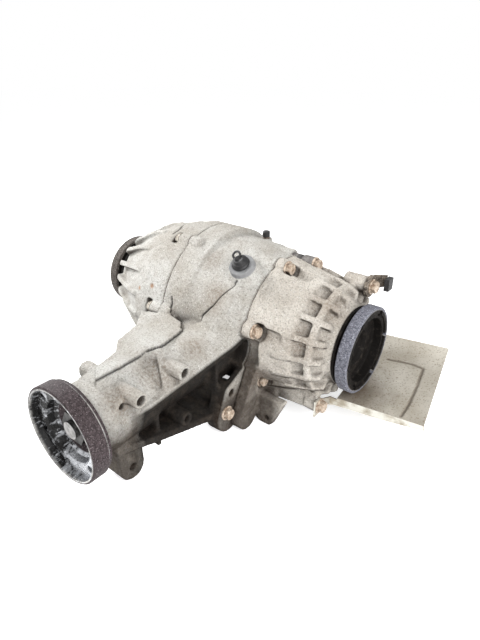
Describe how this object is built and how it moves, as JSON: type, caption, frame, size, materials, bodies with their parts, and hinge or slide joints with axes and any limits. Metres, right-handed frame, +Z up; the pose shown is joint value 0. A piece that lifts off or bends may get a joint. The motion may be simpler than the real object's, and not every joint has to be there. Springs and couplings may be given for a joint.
{
  "type": "rear differential",
  "caption": "Final drive in a ribbed cast case: a long neck carries the input flange, a hypoid gear pair and bevel differential turn two recessed output flanges.",
  "frame": {"origin": "centre of the right output flange's outer face", "axes": "+X out of the right output flange along the output shafts, -Y out of the input flange along the pinion's axis, +Z up"},
  "size_m": [0.497, 0.413, 0.2142],
  "materials": {
    "cast_aluminium": "rough cast, dusty",
    "flange_iron": "rough, light rust bloom",
    "input_flange_iron": "oily, brown",
    "bolt_steel": "zinc plated, worn",
    "bracket_steel": "dusty plate",
    "gear_steel": "ground and oiled",
    "bearing_steel": "polished",
    "case_iron": "machined casting",
    "seal_rubber": "moulded",
    "plug_rubber": "moulded",
    "shield_sheet": "dusty sheet",
    "gasket_paper": "compressed"
  },
  "bodies": {
    "housing": {"main_housing": "cast_aluminium", "left_cover": "cast_aluminium", "right_cover": "cast_aluminium", "top_sleeve": "flange_iron", "left_cover_bolts": "bolt_steel", "right_cover_bolts": "bolt_steel", "cover_dowels": "bolt_steel", "lower_lug_bolt": "bolt_steel", "top_sleeve_bolt": "bolt_steel", "heat_shield_bolt": "bolt_steel", "rear_bracket_bolt": "bolt_steel", "drain_plug": "bolt_steel", "drain_plug_washer": "bolt_steel", "breather_tube": "bolt_steel", "rear_bracket": "bracket_steel", "bearing_shims": "gear_steel", "left_shaft_seal": "seal_rubber", "right_shaft_seal": "seal_rubber", "input_shaft_seal": "seal_rubber", "rear_bracket_buffer": "seal_rubber", "filler_plug": "plug_rubber", "breather_cap": "plug_rubber", "heat_shield": "shield_sheet", "left_cover_gasket": "gasket_paper", "right_cover_gasket": "gasket_paper", "right_carrier_bearing_cup": "bearing_steel", "left_carrier_bearing_cup": "bearing_steel", "pinion_head_bearing_cup": "bearing_steel", "pinion_tail_bearing_cup": "bearing_steel"},
    "pinion": {"drive_pinion": "gear_steel", "input_flange": "input_flange_iron", "input_dust_ring": "input_flange_iron", "pinion_nut": "gear_steel", "crush_sleeve": "gear_steel", "pinion_head_bearing_cone": "bearing_steel", "pinion_head_bearing_rollers": "bearing_steel", "pinion_tail_bearing_cone": "bearing_steel", "pinion_tail_bearing_rollers": "bearing_steel"},
    "carrier": {"ring_gear": "gear_steel", "ring_gear_bolts": "gear_steel", "differential_case": "case_iron", "cross_pin": "gear_steel", "cross_pin_lock_pin": "gear_steel", "thrust_washers": "gear_steel", "right_carrier_bearing_cone": "bearing_steel", "right_carrier_bearing_rollers": "bearing_steel", "left_carrier_bearing_cone": "bearing_steel", "left_carrier_bearing_rollers": "bearing_steel"},
    "left_output": {"left_output_flange": "flange_iron", "left_side_gear": "gear_steel", "left_circlip": "gear_steel", "left_dust_ring": "flange_iron"},
    "right_output": {"right_output_flange": "flange_iron", "right_side_gear": "gear_steel", "right_circlip": "gear_steel", "right_dust_ring": "flange_iron"},
    "upper_spider": {"upper_spider_gear": "gear_steel"},
    "lower_spider": {"lower_spider_gear": "gear_steel"}
  },
  "joints": [
    {"name": "carrier_spin", "type": "hinge", "parent": "housing", "child": "carrier", "pos_m": [-0.184, 0, 0], "axis": [1, 0, 0], "continuous": true},
    {"name": "pinion_spin", "type": "hinge", "parent": "housing", "child": "pinion", "pos_m": [-0.184, -0.15, -0.027], "axis": [0, 1, 0], "continuous": true},
    {"name": "left_output_spin", "type": "hinge", "parent": "carrier", "child": "left_output", "pos_m": [-0.184, 0, 0], "axis": [1, 0, 0], "continuous": true},
    {"name": "right_output_spin", "type": "hinge", "parent": "carrier", "child": "right_output", "pos_m": [-0.184, 0, 0], "axis": [1, 0, 0], "continuous": true},
    {"name": "upper_spider_spin", "type": "hinge", "parent": "carrier", "child": "upper_spider", "pos_m": [-0.184, 0, 0], "axis": [0, 0, 1], "continuous": true},
    {"name": "lower_spider_spin", "type": "hinge", "parent": "carrier", "child": "lower_spider", "pos_m": [-0.184, 0, 0], "axis": [0, 0, 1], "continuous": true}
  ],
  "couplings": [
    {"joint": "pinion_spin", "follows": "carrier_spin", "ratio": -3.7273},
    {"joint": "right_output_spin", "follows": "left_output_spin", "ratio": -1},
    {"joint": "upper_spider_spin", "follows": "left_output_spin", "ratio": 1.4},
    {"joint": "lower_spider_spin", "follows": "left_output_spin", "ratio": -1.4}
  ]
}
